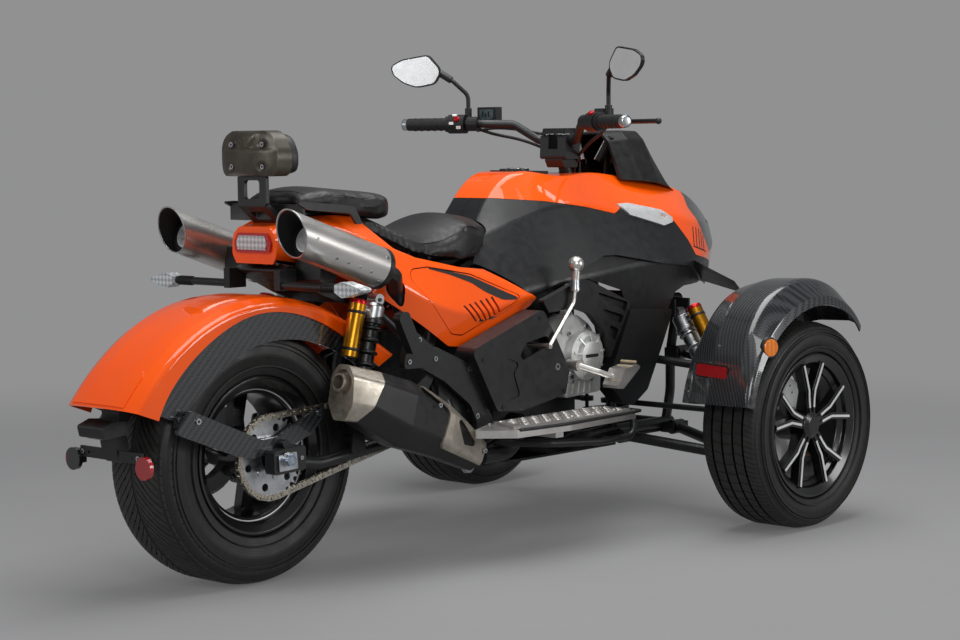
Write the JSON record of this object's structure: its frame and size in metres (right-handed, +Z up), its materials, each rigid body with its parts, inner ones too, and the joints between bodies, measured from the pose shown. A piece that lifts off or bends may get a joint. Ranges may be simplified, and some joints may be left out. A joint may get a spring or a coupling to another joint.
{
  "type": "reverse trike motorcycle",
  "caption": "Reverse trike with two steered front wheels on wishbones, a chain-driven rear wheel, straddle seat, fairings, backrest and triple exhaust.",
  "frame": {"origin": "middle of the length and width, on the floor the three wheels stand on", "axes": "+X forward, +Y to the rider's left, +Z up"},
  "size_m": [2.103, 1.314, 1.2136],
  "materials": {
    "frame_paint": "satin",
    "cast_aluminium": "cast",
    "brushed_steel": "brushed",
    "plated_steel": "polished",
    "spring_black": "gloss",
    "gold_anodised": "anodised",
    "orange_paint": "gloss",
    "dark_plastic": "satin",
    "black_plastic": "satin",
    "carbon": "gloss",
    "clear_lens": "clear",
    "red_lens": "gloss",
    "tyre": "matte",
    "rim_black": "gloss",
    "seat_vinyl": "matte",
    "grip_rubber": "matte",
    "mirror_glass": "mirror",
    "titanium_trim": "brushed",
    "bronze_plastic": "satin",
    "silver_paint": "satin"
  },
  "bodies": {
    "root": {"frame": "frame_paint", "engine": "cast_aluminium", "crankcase_covers": "cast_aluminium", "engine_side_covers": "dark_plastic", "radiator_grilles": "black_plastic", "leg_fairings": "dark_plastic", "side_fairings": "dark_plastic", "tank_shell": "orange_paint", "filler_panel": "silver_paint", "instrument_hood": "black_plastic", "headlamp": "clear_lens", "footboards": "cast_aluminium", "foot_guards": "frame_paint", "control_levers": "plated_steel", "swingarm": "frame_paint", "rear_axle": "plated_steel", "drive_chain": "plated_steel", "rear_fender": "orange_paint", "fender_skirts": "carbon", "plate_bracket": "black_plastic", "rear_reflectors": "red_lens", "shock_absorbers": "spring_black", "shock_reservoirs": "gold_anodised", "suspension_arms": "frame_paint", "muffler_body": "spring_black", "muffler_trim": "titanium_trim", "upper_mufflers": "brushed_steel", "exhaust_pipes": "frame_paint", "tail_cowl": "orange_paint", "side_panels": "orange_paint", "tail_light": "red_lens", "tail_tray": "black_plastic", "turn_signals": "clear_lens", "rider_seat": "seat_vinyl", "pillion_seat": "seat_vinyl", "backrest_pad": "seat_vinyl", "backrest_shell": "bronze_plastic", "seat_brackets": "frame_paint", "pillion_footrests": "black_plastic"},
    "handlebar_assembly": {"handlebar": "frame_paint", "grips": "grip_rubber", "handlebar_controls": "black_plastic", "mirrors": "black_plastic", "mirror_glasses": "mirror_glass"},
    "knuckle_right": {"knuckle_right": "cast_aluminium", "front_fender_right": "carbon"},
    "knuckle_left": {"knuckle_left": "cast_aluminium", "front_fender_left": "carbon"},
    "tie_rod_right": {"tie_rod_right": "frame_paint"},
    "tie_rod_left": {"tie_rod_left": "frame_paint"},
    "wheel_front_right": {"front_tyre_right": "tyre", "front_rim_right": "rim_black"},
    "wheel_front_left": {"front_tyre_left": "tyre", "front_rim_left": "rim_black"},
    "wheel_rear": {"rear_tyre": "tyre", "rear_rim": "rim_black", "rear_sprocket": "brushed_steel"}
  },
  "joints": [
    {"name": "steer_right", "type": "hinge", "parent": "root", "child": "knuckle_right", "pos_m": [0.72, -0.47, 0.261], "axis": [0, 0, 1], "range_deg": [-23.62, 23.62]},
    {"name": "steer_left", "type": "hinge", "parent": "root", "child": "knuckle_left", "pos_m": [0.72, 0.47, 0.261], "axis": [0, 0, 1], "range_deg": [-23.62, 23.62]},
    {"name": "steer_bar", "type": "hinge", "parent": "root", "child": "handlebar_assembly", "pos_m": [0.50996, 0, 0.9], "axis": [-0.3256, 0, 0.9455], "range_deg": [-25, 25]},
    {"name": "rod_right", "type": "hinge", "parent": "knuckle_right", "child": "tie_rod_right", "pos_m": [0.63, -0.47, 0.29], "axis": [0, 0, 1], "range_deg": [-26, 26]},
    {"name": "rod_left", "type": "hinge", "parent": "knuckle_left", "child": "tie_rod_left", "pos_m": [0.63, 0.47, 0.29], "axis": [0, 0, 1], "range_deg": [-26, 26]},
    {"name": "spin_front_right", "type": "hinge", "parent": "knuckle_right", "child": "wheel_front_right", "pos_m": [0.72, -0.558, 0.261], "axis": [0, 1, 0], "continuous": true},
    {"name": "spin_front_left", "type": "hinge", "parent": "knuckle_left", "child": "wheel_front_left", "pos_m": [0.72, 0.558, 0.261], "axis": [0, 1, 0], "continuous": true},
    {"name": "spin_rear", "type": "hinge", "parent": "root", "child": "wheel_rear", "pos_m": [-0.648, 0, 0.291], "axis": [0, 1, 0], "continuous": true}
  ],
  "couplings": [
    {"joint": "steer_left", "follows": "steer_right", "ratio": 1},
    {"joint": "steer_bar", "follows": "steer_right", "ratio": 1.0582},
    {"joint": "rod_right", "follows": "steer_right", "ratio": -1.08},
    {"joint": "rod_left", "follows": "steer_right", "ratio": -1.08}
  ]
}
